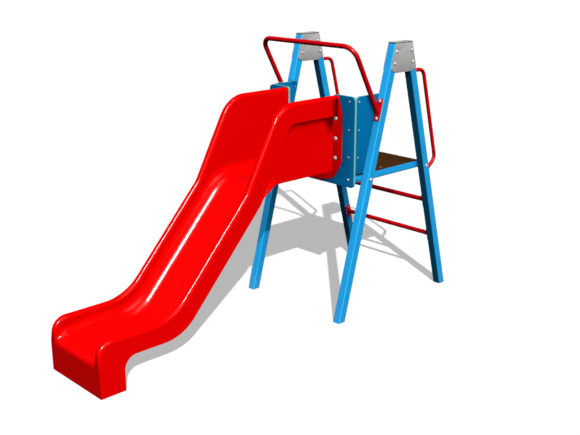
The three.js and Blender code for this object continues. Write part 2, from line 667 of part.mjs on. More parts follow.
RUNG_HEIGHTS.forEach((z, i) => {
  const half = LEG_INNER_X - GAP - LUG / 2;
  const bar = bentBar([onLeg(-half, 1, z), onLeg(half, 1, z)], RUNG_DIAMETER, 0);
  const lugs = Object.values(SIDES).map((side) => lug(
    onLeg(side * LEG_INNER_X, 1, z), alongLeg(1), across(-side), RUNG_LUG_LENGTH, LUG_WIDTH,
    rungBoltPlaces(side).map((at) => drill(at, across(-side), holeFor('rung'), TUBE, TUBE)),
  ));
  place(`rung_${i + 1}`, joined([bar, ...lugs]), FINISH.bar);
});
for (const [name, side] of Object.entries(SIDES)) {
  rungBoltPlaces(side).forEach((at, i) => {
    const face = at.addScaledVector(across(-side), LUG + 2 * GAP);
    place(`rung_bolt_${name}_${i + 1}`, bolt(face, across(-side), BOLTS.rung), FINISH.bolt);
  });
}

// The space that a leg takes, with the gap round it.
const legSpace = (side, end) => prism('YZ', legOutline(end, -TUBE, FRAME_HEIGHT, -GAP),
  ...band(side, LEG_INNER_X - GAP, LEG_OUTER_X + GAP));

// ---- Hoop over the chute's mouth ------------------------------------------------------------------------------
function hoop() {
  const foot = onLegEdge(HOOP_HALF, -1, HOOP_LUG_Z - 8).addScaledVector(outOfLeg(-1), LUG / 2);
  const rise = HOOP_TOP_Z - foot.z;
  const top = vector(HOOP_HALF, foot.y - rise * Math.tan(HOOP_LEAN), HOOP_TOP_Z);
  const mirrored = (p) => vector(-p.x, p.y, p.z);
  const start = foot.clone().addScaledVector(outOfLeg(-1), HOOP_DIAMETER / 4);
  const bar = bentBar([start, top, mirrored(top), mirrored(start)], HOOP_DIAMETER, HOOP_BEND);
  const lugs = Object.values(SIDES).map((side) => lug(
    onLegEdge(side * LEG_MIDDLE_X, -1, HOOP_LUG_Z), alongLeg(-1), outOfLeg(-1), HOOP_LUG_LENGTH, LUG_WIDTH,
    hoopBoltPlaces(side).map((at) => drill(at, outOfLeg(-1), holeFor('hoop'), TUBE, TUBE)),
  ));
  return cut(joined([bar, ...lugs]), Object.values(SIDES).map((side) => legSpace(side, -1)));
}
place('hoop', hoop(), FINISH.bar);
for (const [name, side] of Object.entries(SIDES)) {
  hoopBoltPlaces(side).forEach((at, i) => {
    const face = at.addScaledVector(outOfLeg(-1), LUG + 2 * GAP);
    place(`hoop_bolt_${name}_${i + 1}`, bolt(face, outOfLeg(-1), BOLTS.hoop), FINISH.bolt);
  });
}

// ---- Grab handles on the rear legs -------------------------------------------------------------------------------
function handle(side) {
  const x = side * LEG_MIDDLE_X;
  const out = outOfLeg(1);
  const end = (z) => onLegEdge(x, 1, z).addScaledVector(out, LUG);
  const grip = (z) => vector(x, outerReach(z) + HANDLE_REACH, z);
  const bar = bentBar([end(HANDLE_TOP_Z), grip(HANDLE_TOP_Z), grip(HANDLE_ELBOW_Z), end(HANDLE_LOW_Z)],
    HANDLE_DIAMETER, HANDLE_BEND);
  const lugs = [HANDLE_TOP_Z, HANDLE_LOW_Z].map((z) =>
    lug(onLegEdge(x, 1, z), alongLeg(1), out, HANDLE_LUG_LENGTH, HANDLE_LUG_WIDTH, []));
  return cut(joined([bar, ...lugs]), [legSpace(side, 1)]);
}
for (const [name, side] of Object.entries(SIDES)) {
  place(`handle_${name}`, handle(side), FINISH.bar);
}

export default group;
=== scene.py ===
import json
import math

import bpy
from mathutils import Matrix, Vector

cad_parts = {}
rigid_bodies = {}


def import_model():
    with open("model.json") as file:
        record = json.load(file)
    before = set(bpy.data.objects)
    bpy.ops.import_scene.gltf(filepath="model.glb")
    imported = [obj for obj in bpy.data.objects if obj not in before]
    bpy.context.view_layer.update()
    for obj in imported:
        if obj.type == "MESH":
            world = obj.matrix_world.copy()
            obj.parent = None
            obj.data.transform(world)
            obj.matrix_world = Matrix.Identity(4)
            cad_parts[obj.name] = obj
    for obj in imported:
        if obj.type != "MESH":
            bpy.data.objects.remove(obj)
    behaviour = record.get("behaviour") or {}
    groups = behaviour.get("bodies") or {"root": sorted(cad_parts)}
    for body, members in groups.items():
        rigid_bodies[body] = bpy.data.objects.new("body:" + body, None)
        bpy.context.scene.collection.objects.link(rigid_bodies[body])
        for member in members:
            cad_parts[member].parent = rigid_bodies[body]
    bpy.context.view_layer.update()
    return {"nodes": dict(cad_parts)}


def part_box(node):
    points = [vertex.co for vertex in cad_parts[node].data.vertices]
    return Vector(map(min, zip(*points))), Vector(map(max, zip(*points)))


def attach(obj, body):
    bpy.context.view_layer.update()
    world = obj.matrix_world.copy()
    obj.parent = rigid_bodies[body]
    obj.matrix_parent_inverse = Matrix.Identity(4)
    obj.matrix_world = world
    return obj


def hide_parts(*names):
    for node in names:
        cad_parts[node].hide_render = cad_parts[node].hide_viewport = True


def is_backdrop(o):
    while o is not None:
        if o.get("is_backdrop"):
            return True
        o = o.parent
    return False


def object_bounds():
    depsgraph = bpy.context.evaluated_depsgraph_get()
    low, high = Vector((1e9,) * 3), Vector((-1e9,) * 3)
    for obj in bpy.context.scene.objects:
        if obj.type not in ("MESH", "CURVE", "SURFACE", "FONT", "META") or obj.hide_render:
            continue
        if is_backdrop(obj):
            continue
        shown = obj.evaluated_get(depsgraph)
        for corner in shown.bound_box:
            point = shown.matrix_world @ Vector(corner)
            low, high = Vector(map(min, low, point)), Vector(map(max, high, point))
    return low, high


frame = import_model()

NODES = frame["nodes"]
SIDES = {"right": 1, "left": -1}
ENDS = {"front": -1, "rear": 1}

# ---- Places, from the frame ---------------------------------------------------------------------
LEG_LOW, LEG_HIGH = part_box("leg_front_right")
REAR_LEG_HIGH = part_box("leg_rear_right")[1]
MIDDLE_Y = (LEG_LOW.y + REAR_LEG_HIGH.y) / 2  # the A-frames' middle
FRAME_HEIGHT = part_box("apex_cover_right")[1].z
TUBE = LEG_HIGH.x - LEG_LOW.x
LEG_INNER_X, LEG_OUTER_X = LEG_LOW.x, LEG_HIGH.x
LEG_MIDDLE_X = (LEG_INNER_X + LEG_OUTER_X) / 2
FOOT_REACH = REAR_LEG_HIGH.y - MIDDLE_Y
TOP_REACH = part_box("apex_cover_right")[1].y - MIDDLE_Y
LEAN = (FOOT_REACH - TOP_REACH) / FRAME_HEIGHT
LEAN_ANGLE = math.atan(LEAN)
GAP = 0.0003  # left between pieces that touch


def outer_reach(z):
    """How far a leg's outer edge is from the A-frames' middle at height z."""
    return FOOT_REACH - LEAN * z


def middle_reach(z):
    """How far a leg's centre line is from the A-frames' middle at height z."""
    return outer_reach(z) - TUBE / math.cos(LEAN_ANGLE) / 2


def on_leg(x, end, z):
    """The point on a leg's centre line; `end` is -1 for a front leg and 1 for a rear one."""
    return Vector((x, MIDDLE_Y + end * middle_reach(z), z))


def on_leg_edge(x, end, z):
    return Vector((x, MIDDLE_Y + end * outer_reach(z), z))


def out_of_leg(end):
    """The way that a leg's outer face looks."""
    return Vector((0, end * math.cos(LEAN_ANGLE), math.sin(LEAN_ANGLE)))


def along_leg(end):
    return Vector((0, -end * math.sin(LEAN_ANGLE), math.cos(LEAN_ANGLE)))


# ---- Finishes -----------------------------------------------------------------------------------
def linear(red, green, blue):
    """A display colour, 0 to 255, as the linear light that the shader takes."""
    def one(value):
        value /= 255
        return value / 12.92 if value <= 0.04045 else ((value + 0.055) / 1.055) ** 2.4
    return (one(red), one(green), one(blue), 1.0)


def shade(color, factor):
    """The colour with its lightness multiplied."""
    return tuple(min(c * factor, 1.0) for c in color[:3]) + (1.0,)


class Finish:
    """A material under construction: `add` makes nodes, and `shader` is its surface."""

    def __init__(self, name, **sockets):
        self.material = bpy.data.materials.new(name)
        self.material.use_nodes = True
        self.tree = self.material.node_tree
        self.shader = self.tree.nodes["Principled BSDF"]
        self.put(self.shader, sockets)
        self.place = self.add("TexCoord").outputs["Object"]

    def put(self, node, sockets):
        for key, value in sockets.items():
            socket = node.inputs[key.replace("_", " ") if isinstance(key, str) else key]
            if isinstance(value, bpy.types.NodeSocket):
                self.tree.links.new(value, socket)
            else:
                socket.default_value = value

    def add(self, kind, inputs=(), **settings):
        node = self.tree.nodes.new("ShaderNode" + kind)
        for key, value in settings.items():
            setattr(node, key, value)
        self.put(node, dict(inputs))
        return node

    def stretched(self, scale, turn=(0, 0, 0)):
        """The object's own coordinates, turned and then scaled."""
        mapping = self.add("Mapping", {"Vector": self.place, "Rotation": turn, "Scale": scale})
        return mapping.outputs["Vector"]

    def noise(self, scale, detail=2.0, vector=None, roughness=0.5):
        made = self.add("TexNoise", {
            "Vector": vector or self.place,
            "Scale": scale,
            "Detail": detail,
            "Roughness": roughness,
        })
        return made.outputs["Fac"]

    def ramp(self, value, low, high, out_low=0.0, out_high=1.0):
        made = self.add("MapRange", {
            "Value": value,
            "From Min": low,
            "From Max": high,
            "To Min": out_low,
            "To Max": out_high,
        })
        return made.outputs["Result"]

    def math(self, operation, a, b=0.0):
        return self.add("Math", {0: a, 1: b}, operation=operation).outputs["Value"]

    def mix(self, share, a, b):
        """The colour `a` where the share is 0 and `b` where it is 1."""
        made = self.add("Mix", data_type="RGBA")
        self.put(made, {0: share, 6: a, 7: b})
        return made.outputs[2]

    def part(self, vector, axis):
        return self.add("SeparateXYZ", {0: vector}).outputs[axis]

    def height(self):
        return self.part(self.place, "Z")

    def normal(self, axis):
        return self.part(self.add("NewGeometry").outputs["True Normal"], axis)

    def facing(self, axis, least=0.5):
        """1 where the surface faces along the axis, either way, and 0 elsewhere."""
        return self.math("GREATER_THAN", self.math("ABSOLUTE", self.normal(axis)), least)

    def bump(self, height, strength, distance):
        made = self.add("Bump", {"Height": height, "Strength": strength, "Distance": distance})
        self.put(self.shader, {"Normal": made.outputs["Normal"]})

    def tint(self, color, spread, scale=4.0):
        """The colour with a slow, faint drift in its lightness."""
        drift = self.ramp(self.noise(scale, 3.0), 0.3, 0.7)
        return self.mix(drift, shade(color, 1 - spread), shade(color, 1 + spread))


def gelcoat(name, color):
    """Moulded glass-fibre plastic: deep gloss, a faint ripple and fine sliding scratches. The
    upright walls beside the deck carry painted shade, darkened by ambient occlusion in the corner
    under the skirt's edge."""
    made = Finish(name, Coat_Weight=0.4, Coat_Roughness=0.12, Specular_IOR_Level=0.45)
    scratches = made.noise(1.0, 6.0, made.stretched((90, 2.5, 2.5)), 0.7)
    ripple = made.noise(9.0, 2.0)
    orange_peel = made.noise(420.0, 2.0)
    open_share = made.add("AmbientOcclusion", {"Distance": 0.10}, samples=12).outputs["AO"]
    beside_deck = made.ramp(made.height(), 1.27, 1.36)
    wall = made.math("MULTIPLY", beside_deck, made.facing("X", 0.95))
    # painted shade: the walls beside the deck go dark where ambient occlusion finds the skirt's
    # edge overhead
    painted_wall_shade = made.math("MULTIPLY", made.ramp(open_share, 0.74, 0.94, 1.0, 0.0), wall)
    scratched = made.ramp(scratches, 0.45, 0.75, 0.2, 0.27)
    made.put(made.shader, {
        "Base Color": made.mix(painted_wall_shade, made.tint(color, 0.05, 1.6), shade(color, 0.16)),
        "Roughness": made.math("ADD", scratched, made.ramp(ripple, 0.3, 0.7, 0.0, 0.03)),
    })
    ripple_part = made.math("MULTIPLY", ripple, 0.8)
    relief = made.math("ADD", ripple_part, made.math("MULTIPLY", orange_peel, 0.2))
    made.bump(relief, 0.12, 0.0006)
    return made.material


def powder_coat(name, color, wear_and_highlight, gloss, under):
    """Baked paint on steel, with its fine orange peel and a little dust near the ground. A
    painted highlight lightens the rounded corners of a square tube, and painted shade dims
    faces that look down: from the second to the first of the normal's heights in `under`."""
    made = Finish(name, Metallic=0.0, Coat_Weight=0.2, Coat_Roughness=0.18)
    peel = made.noise(900.0, 3.0)
    drift = made.noise(14.0, 4.0)
    near_ground = made.ramp(made.height(), 0.0, 0.14, 0.22, 0.0)
    dust = made.math("MULTIPLY", near_ground, made.ramp(drift, 0.35, 0.7))
    dusty = made.mix(dust, made.tint(color, 0.05, 6.0), linear(150, 140, 125))
    sideways = made.math("POWER", made.math("ABSOLUTE", made.normal("X")), 2.0)
    corner = made.math("MULTIPLY", sideways, made.math("SUBTRACT", 1.0, sideways))
    # painted highlight: the rounded corners take the lighter colour
    corner_lit = made.mix(made.ramp(corner, 0.06, 0.2), dusty, wear_and_highlight)
    # painted shade on the faces that look down
    painted_under_shade = made.ramp(made.normal("Z"), *under, 1.0, 0.0)
    made.put(made.shader, {
        "Base Color": made.mix(painted_under_shade, corner_lit, shade(color, 0.28)),
        "Roughness": made.math("ADD", made.ramp(drift, 0.2, 0.8, gloss, gloss + 0.08), dust),
    })
    made.bump(peel, 0.14, 0.0004)
    return made.material


def guard_board(name, face, core, axis):
    """Polyethylene board: stippled coloured faces along `axis` and a pale, sawn core."""
    made = Finish(name, Specular_IOR_Level=0.45)
    is_face = made.facing(axis)
    stipple = made.noise(1500.0, 2.0)
    saw_marks = made.noise(1.0, 2.0, made.stretched((900, 900, 40)))
    cut = made.mix(made.ramp(saw_marks, 0.3, 0.7), core, shade(core, 0.82))
    made.put(made.shader, {
        "Base Color": made.mix(is_face, cut, made.tint(face, 0.06, 5.0)),
        "Roughness": made.ramp(stipple, 0.2, 0.8, 0.34, 0.46),
    })
    made.bump(stipple, 0.2, 0.0005)
    return made.material


def galvanised(name, color):
    """Hot-dip zinc: a spangle of soft crystals, each with its own shade and gloss."""
    made = Finish(name, Metallic=0.2)
    crystals = made.add("TexVoronoi", {"Vector": made.place, "Scale": 75.0, "Randomness": 1.0})
    crystal = made.part(crystals.outputs["Color"], "X")  # one number for each crystal
    grain = made.noise(260.0, 4.0)
    dull = made.ramp(crystal, 0.0, 1.0, 0.52, 0.57)
    pale = made.ramp(crystal, 0.1, 0.9)
    made.put(made.shader, {
        "Base Color": made.mix(pale, shade(color, 0.98), shade(color, 1.02)),
        "Roughness": made.math("ADD", dull, made.ramp(grain, 0.3, 0.7, 0.0, 0.04)),
    })
    made.bump(grain, 0.04, 0.0003)
    return made.material


def stainless(name):
    """Brushed bright steel that scatters most of its light, with a fine grain."""
    made = Finish(name, Metallic=0.35)
    grain = made.noise(700.0, 3.0)
    made.put(made.shader, {
        "Base Color": made.tint(linear(246, 246, 250), 0.04, 60.0),
        "Roughness": made.ramp(grain, 0.2, 0.8, 0.24, 0.34),
    })
    made.bump(grain, 0.05, 0.0002)
    return made.material


def deck_board(name, color):
    """Film-faced plywood: a raised anti-slip mesh on top and layered veneers at the edges."""
    made = Finish(name, Specular_IOR_Level=0.15)
    is_face = made.facing("Z")
    weave = made.stretched((1, 1, 1), (0, 0, math.radians(45)))
    ribs = [
        made.add("TexWave", {"Vector": weave, "Scale": 55.0}, bands_direction=way).outputs["Fac"]
        for way in ("X", "Y")
    ]
    mesh = made.math("MAXIMUM", ribs[0], ribs[1])
    layers = made.math("SINE", made.math("MULTIPLY", made.height(), 4200.0))
    veneers = made.math("GREATER_THAN", layers, 0.0)
    fibres = made.noise(1.0, 4.0, made.stretched((25, 25, 1800)))
    wood = made.mix(veneers, linear(178, 138, 92), linear(128, 92, 58))
    grained = made.mix(made.ramp(fibres, 0.35, 0.65, 0.0, 0.5), wood, linear(96, 66, 40))
    wear_and_highlight = made.ramp(made.noise(5.0, 5.0), 0.45, 0.75, 0.0, 0.35)
    film = made.mix(wear_and_highlight, made.tint(color, 0.12, 9.0), linear(88, 58, 30))
    made.put(made.shader, {
        "Base Color": made.mix(is_face, grained, film),
        "Roughness": made.ramp(mesh, 0.2, 1.0, 0.72, 0.5),
    })
    made.bump(made.math("MULTIPLY", mesh, is_face), 0.5, 0.0012)
    return made.material


def moulded(name, color):
    """Plain injection-moulded plastic with a sparked texture."""
    made = Finish(name)
    spark = made.noise(1600.0, 2.0)
    made.put(made.shader, {
        "Base Color": made.tint(color, 0.15, 30.0),
        "Roughness": made.ramp(spark, 0.2, 0.8, 0.4, 0.55),
    })
    made.bump(spark, 0.2, 0.0003)
    return made.material


RED = gelcoat("gelcoat_red", linear(253, 0, 0))
# the second colour is a painted highlight on the tubes' corners; the pair of heights sets the
# painted shade on faces that look down
BLUE = powder_coat("powder_blue", linear(38, 178, 255), linear(60, 205, 255), 0.3, (-0.25, -0.05))
BAR_COLOR = linear(232, 8, 20)
# the bars have no corner highlight, only painted shade on the faces that look down, set by the pair
# of heights
BAR_RED = powder_coat("powder_red", BAR_COLOR, BAR_COLOR, 0.22, (-0.9, -0.1))
BOARD_FACE = linear(0, 121, 184)
BOARD_CORE = linear(140, 214, 196)
FRONT_BOARD = guard_board("board_front", BOARD_FACE, BOARD_CORE, "Y")
SIDE_BOARD = guard_board("board_side", BOARD_FACE, BOARD_CORE, "X")
ZINC = galvanised("zinc", linear(208, 207, 205))
STEEL = stainless("stainless")
DECK = deck_board("deck_film", linear(76, 45, 18))
BLACK = moulded("cap_black", linear(14, 24, 38))


# ---- Mesh building ------------------------------------------------------------------------------
TINY = 2e-5  # the radius of the ring that stands for a point


def ring_turns(sides):
    return [2 * math.pi * k / sides for k in range(sides)]


def ring_about(centre, radius, across, other, sides):
    return [
        centre + radius * (across * math.cos(t) + other * math.sin(t)) for t in ring_turns(sides)
    ]


def round_ring(radius, height, matrix, sides=36):
    return [
        matrix @ Vector((radius * math.cos(t), radius * math.sin(t), height))
        for t in ring_turns(sides)
    ]


class Build:
    """Gathers loops of points into one mesh."""

    def __init__(self):
        self.points = []
        self.faces = []

    def loft(self, loops, caps=(True, True)):
        """Joins closed loops of the same number of points, with the ends closed or left open."""
        base, count = len(self.points), len(loops[0])
        for loop in loops:
            self.points += [Vector(p) for p in loop]
        for row in range(len(loops) - 1):
            for k in range(count):
                a, b = base + row * count + k, base + row * count + (k + 1) % count
                self.faces.append((a, b, b + count, a + count))
        last = base + (len(loops) - 1) * count
        if caps[0]:
            self.faces.append(tuple(range(base + count - 1, base - 1, -1)))
        if caps[1]:
            self.faces.append(tuple(range(last, last + count)))

    def turned(self, profile, matrix, sides=28):
        """A profile of (radius, height) spun about the matrix's Z axis."""
        self.loft([
            round_ring(max(radius, TINY), height, matrix, sides) for radius, height in profile
        ])

    def tube(self, path, radius, sides=32):
        """A round bar along a path of points."""
        nexts, befores = path[1:] + path[-1:], path[:1] + path[:-1]
        ways = [(after - before).normalized() for after, before in zip(nexts, befores)]
        across = ways[0].orthogonal().normalized()
        loops = []
        for point, way in zip(path, ways):
            across = (across - way * across.dot(way)).normalized()
            loops.append(ring_about(point, radius, across, way.cross(across), sides))
        self.loft(loops)

    def slab(self, outline, thickness, matrix, edge=0.0012, steps=3):
        """A plate of that outline in X and Y, its edges rounded."""
        normals = outline_normals(outline)
        def ring(inset, height):
            return [matrix @ Vector((p.x - n.x * inset, p.y - n.y * inset, height))
                    for p, n in zip(outline, normals)]
        turns = [math.pi / 2 * k / steps for k in range(steps + 1)]
        low = [ring(edge * (1 - math.sin(t)), edge * (1 - math.cos(t))) for t in turns]
        high = [ring(edge * (1 - math.cos(t)), thickness - edge * (1 - math.sin(t))) for t in turns]
        self.loft(low + high)

    def bead(self, path, radius):
        """A closed weld bead along a ring of points, swelling and thinning as it was laid."""
        count = len(path)
        loops = []
        middle = sum(path, Vector()) / count
        for i, point in enumerate(path):
            way = (path[(i + 1) % count] - path[i - 1]).normalized()
            across = (point - middle).normalized()
            other = way.cross(across).normalized()
            swell = radius * (1 + 0.14 * math.sin(i * 2.4))
            loops.append(ring_about(point, swell, across, other, 8))
        self.loft(loops + [loops[0]], (False, False))

    def piece(self, name, material, slot, replaces=(), smooth=40):
        """The finished object, riding with the frame, sharp where it turns `smooth` degrees."""
        mesh = bpy.data.meshes.new(name)
        mesh.from_pydata(self.points, [], self.faces)
        mesh.validate()
        mesh.polygons.foreach_set("use_smooth", [True] * len(mesh.polygons))
        mesh.set_sharp_from_angle(angle=math.radians(smooth))
        mesh.materials.append(material)
        made = bpy.data.objects.new(name, mesh)
        bpy.context.scene.collection.objects.link(made)
        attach(made, "root")
        if replaces:
            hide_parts(*replaces)
        return made


def outline_normals(outline):
    """Unit normals that point out of a closed outline, at each of its points."""
    area = sum(a.x * b.y - b.x * a.y for a, b in zip(outline, outline[1:] + outline[:1]))
    turn = 1 if area > 0 else -1
    normals = []
    for i, point in enumerate(outline):
        ahead = outline[(i + 1) % len(outline)] - outline[i - 1]
        normals.append(Vector((ahead.y, -ahead.x)).normalized() * turn)
    return normals


def rounded(corners, closed=True, steps=8):
    """An outline through corners (a, b, radius), rounded with arcs."""
    points = []
    for i, corner in enumerate(corners):
        here = Vector(corner[:2])
        radius = corner[2] if len(corner) > 2 else 0
        at_end = not closed and i in (0, len(corners) - 1)
        if at_end or radius == 0:
            points.append(here)
            continue
        back = (Vector(corners[i - 1][:2]) - here).normalized()
        ahead = (Vector(corners[(i + 1) % len(corners)][:2]) - here).normalized()
        half = back.angle(ahead) / 2
        centre = here + (back + ahead).normalized() * (radius / math.sin(half))
        start = here + back * (radius / math.tan(half)) - centre
        side = 1 if ahead.x * back.y - ahead.y * back.x > 0 else -1
        for k in range(steps + 1):
            turn = side * (math.pi - 2 * half) * k / steps
            spin = Matrix.Rotation(turn, 2)
            points.append(centre + spin @ start)
    return points


def bent(corners, radius, steps=14):
    """A path through corners in space, bent to that radius."""
    points = [corners[0]]
    for before, here, after in zip(corners, corners[1:], corners[2:]):
        back, ahead = (before - here).normalized(), (after - here).normalized()
        half = back.angle(ahead) / 2
        centre = here + (back + ahead).normalized() * (radius / math.sin(half))
        start = here + back * (radius / math.tan(half)) - centre
        axis = ahead.cross(back).normalized()
        for k in range(steps + 1):
            turn = (math.pi - 2 * half) * k / steps
            points.append(centre + Matrix.Rotation(turn, 3, axis) @ start)
    return points + [corners[-1]]


def aimed(origin, direction):
    """A matrix that puts Z along `direction` at `origin`."""
    return Matrix.Translation(origin) @ direction.to_track_quat("Z", "Y").to_matrix().to_4x4()


def laid(origin, along, out):
    """A matrix with X along `along` and Z along `out` at `origin`."""
    sideways = out.cross(along)
    turn = Matrix((along, sideways, out)).transposed()
    return Matrix.Translation(origin) @ turn.to_4x4()


# ---- CAD nodes that stay ------------------------------------------------------------------------
MERGE = 1e-5  # corners of the faceted solids this close are one
FLAT_TURN = math.radians(1)
EDGE_TURN = math.radians(50)


def keep(node, material, edge, segments=3):
    """Gives a CAD node rounded edges and a finish. Its mesh and place stay as they are."""
    thing = NODES[node]
    thing.data.materials.clear()
    thing.data.materials.append(material)
    weld = thing.modifiers.new("weld", "WELD")
    weld.merge_threshold = MERGE
    flat = thing.modifiers.new("flat_faces", "DECIMATE")
    flat.decimate_type = "DISSOLVE"
    flat.angle_limit = FLAT_TURN
    bevel = thing.modifiers.new("edges", "BEVEL")
    bevel.width = edge
    bevel.segments = segments
    bevel.limit_method = "ANGLE"
    bevel.angle_limit = EDGE_TURN
    bevel.harden_normals = True
    thing.data.polygons.foreach_set("use_smooth", [True] * len(thing.data.polygons))


for side in SIDES:
    for end in ENDS:
        keep(f"leg_cap_{end}_{side}", BLACK, 0.0025)
    for face in ("outer", "inner"):
        keep(f"apex_plate_{face}_{side}", ZINC, 0.001, 2)
    keep(f"apex_cover_{side}", ZINC, 0.0008, 2)
    keep(f"deck_rail_{side}", BLUE, 0.003)
    keep(f"side_board_{side}", SIDE_BOARD, 0.0022)
for place in ("front", "middle", "rear"):
    keep(f"deck_bearer_{place}", BLUE, 0.002)
keep("front_board", FRONT_BOARD, 0.0022)
keep("deck_board", DECK, 0.0015)


# ---- Legs ---------------------------------------------------------------------------------------
LEG_CORNER = 0.006
CORNER_GUARD = 0.003  # from a corner's end to the next point, to keep the flat faces evenly shaded
LEG_END_EDGE = 0.0008
LEG_END_GUARD = 0.01


def leg_ring(side, end, z, inset):
    """A leg's level slice at height z, with extra points beside its rounded corners."""
    far = outer_reach(z) - inset
    near = outer_reach(z) - TUBE / math.cos(LEAN_ANGLE) + inset
    x0, x1 = LEG_INNER_X + inset, LEG_OUTER_X - inset
    step = LEG_CORNER + CORNER_GUARD
    ring = rounded([
        (x0 + step, near), (x1 - step, near), (x1, near, LEG_CORNER),
        (x1, near + step), (x1, far - step), (x1, far, LEG_CORNER),
        (x1 - step, far), (x0 + step, far), (x0, far, LEG_CORNER),
        (x0, far - step), (x0, near + step), (x0, near, LEG_CORNER),
    ])
    ring = [Vector((side * p.x, MIDDLE_Y + end * p.y, z)) for p in ring]
    return ring if side * end > 0 else ring[::-1]


def make_leg(side_name, side, end_name, end):
    node = f"leg_{end_name}_{side_name}"
    low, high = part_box(node)
    foot = [(low.z, LEG_END_EDGE), (low.z + LEG_END_EDGE, 0), (low.z + LEG_END_GUARD, 0)]
    top = [(high.z - LEG_END_GUARD, 0), (high.z - LEG_END_EDGE, 0), (high.z, LEG_END_EDGE)]
    build = Build()
    build.loft([leg_ring(side, end, z, inset) for z, inset in foot + top])
    build.piece(f"leg_tube_{end_name}_{side_name}", BLUE, "frame_blue", [node])


for side_name, side in SIDES.items():
    for end_name, end in ENDS.items():
        make_leg(side_name, side, end_name, end)


# ---- The chute ----------------------------------------------------------------------------------
CHUTE_HALF = 0.275  # outer face of the side skirts
TROUGH_HALF = 0.222  # inner face of the side walls
SHELL = 0.008  # the wall's thickness
RIM_ROUND = 0.020
TROUGH_FILLET = 0.090
LIP_ROUND = 0.0025
SKIRT_ROUND = 0.003
FLANGE = 0.010
CHUTE_START = MIDDLE_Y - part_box("front_board")[0].y + GAP
CHUTE_END = MIDDLE_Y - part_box("chute")[0].y
FOOT_REAR = CHUTE_END - 0.174
RIM_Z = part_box("chute")[1].z
START_FLOOR_Z = 1.006
START_UNDER_Z = 1.022  # the lower edge beside the deck, above the trough's floor
UNDER = 0.013  # the lower edge below the trough's floor at the exit
EXIT_RIM_Z = 0.346
EXIT_FLOOR_Z = 0.225
RECESS_TOP_Z = 1.417  # the skirt's lower edge beside the deck
FLARE = 0.035  # how far the lower lip turns out towards the skirt
FLARE_HEIGHT = 0.050
FLARE_START, FLARE_FULL = 0.930, 1.060
LIP_FADE, LIP_END = 1.140, 1.200  # where the lip goes, behind the skirt


class Profile:
    """A side view in run (forward of the A-frames' middle) and height, with rounded corners."""

    STEPS = 40

    def __init__(self, corners):
        self.points = rounded(corners, False, self.STEPS)
        self.reach = [0.0]
        for a, b in zip(self.points, self.points[1:]):
            self.reach.append(self.reach[-1] + (b - a).length)
        size = self.STEPS + 1
        self.bends = [  # where each corner's arc begins and ends
            (self.reach[1 + i * size], self.reach[i * size + size]) for i in range(len(corners) - 2)
        ]
        self.length = self.reach[-1]

    def at(self, distance):
        """The point that far along the profile."""
        i = max(k for k, reach in enumerate(self.reach[:-1]) if reach <= distance + 1e-12)
        part = (distance - self.reach[i]) / (self.reach[i + 1] - self.reach[i])
        return self.points[i].lerp(self.points[i + 1], part)

    def meet(self, origin, direction, guess):
        """How far along the line from `origin` it meets this profile, nearest to `guess`."""
        best = None
        for a, b in zip(self.points, self.points[1:]):
            edge, offset = b - a, a - origin
            turn = direction.x * edge.y - direction.y * edge.x
            if abs(turn) < 1e-12:
                continue
            along = (offset.x * edge.y - offset.y * edge.x) / turn
            within = (offset.x * direction.y - offset.y * direction.x) / turn
            nearer = best is None or abs(along - guess) < abs(best - guess)
            if -1e-6 <= within <= 1 + 1e-6 and nearer:
                best = along
        return best


RIM_LINE = Profile([
    (CHUTE_START, RIM_Z), (0.942, RIM_Z, 0.225), (1.240, 1.011, 0.170),
    (1.847, EXIT_RIM_Z, 0.350), (CHUTE_END, EXIT_RIM_Z, 0.100), (CHUTE_END, 0),
])
FLOOR_LINE = Profile([
    (CHUTE_START, START_FLOOR_Z), (1.073, START_FLOOR_Z, 0.230),
    (1.796, EXIT_FLOOR_Z, 0.300), (CHUTE_END, EXIT_FLOOR_Z, 0.050), (CHUTE_END, 0),
])
UNDER_LINE = Profile([
    (CHUTE_START, START_UNDER_Z), (1.042, START_UNDER_Z, 0.243),
    (1.782, EXIT_FLOOR_Z - UNDER, 0.313), (FOOT_REAR, EXIT_FLOOR_Z - UNDER, 0.085), (FOOT_REAR, 0),
])
SKIRT_LINE = Profile([
    (CHUTE_START - 0.05, RECESS_TOP_Z), (0.865, RECESS_TOP_Z, 0.080), (1.150, 0.888),
])


def arc(steps, point, turn=math.pi / 2):
    """The points that the function `point` gives for even steps from 0 to `turn`."""
    return [point(turn * k / steps) for k in range(steps + 1)]


def lerp(a, b, share):
    return a + (b - a) * share


def lip_edge(inside, outside, flare, radius, fade, faded, step):
    """The rounded edge of the lip that hangs under the trough's fillet, turned out by `flare`.
    As it fades, its points slide up to lie `step` apart on the side wall, from the height
    `faded`."""
    low_in, low_out = inside + flare, outside + flare
    whole = [
        *arc(3, lambda t: (low_in + radius * (1 - math.cos(t)), radius * (1 - math.sin(t)))),
        *arc(3, lambda t: (low_out - radius * (1 - math.sin(t)), radius * (1 - math.cos(t)))),
        *((outside + flare * (1 + math.cos(math.pi * part)) / 2, FLARE_HEIGHT * part)
          for part in (0.15, 0.3, 0.45, 0.6, 0.75, 0.88, 1)),
    ]
    return [
        (lerp(x, outside, fade), lerp(h, faded + step * (k + 1), fade))
        for k, (x, h) in enumerate(whole)
    ]


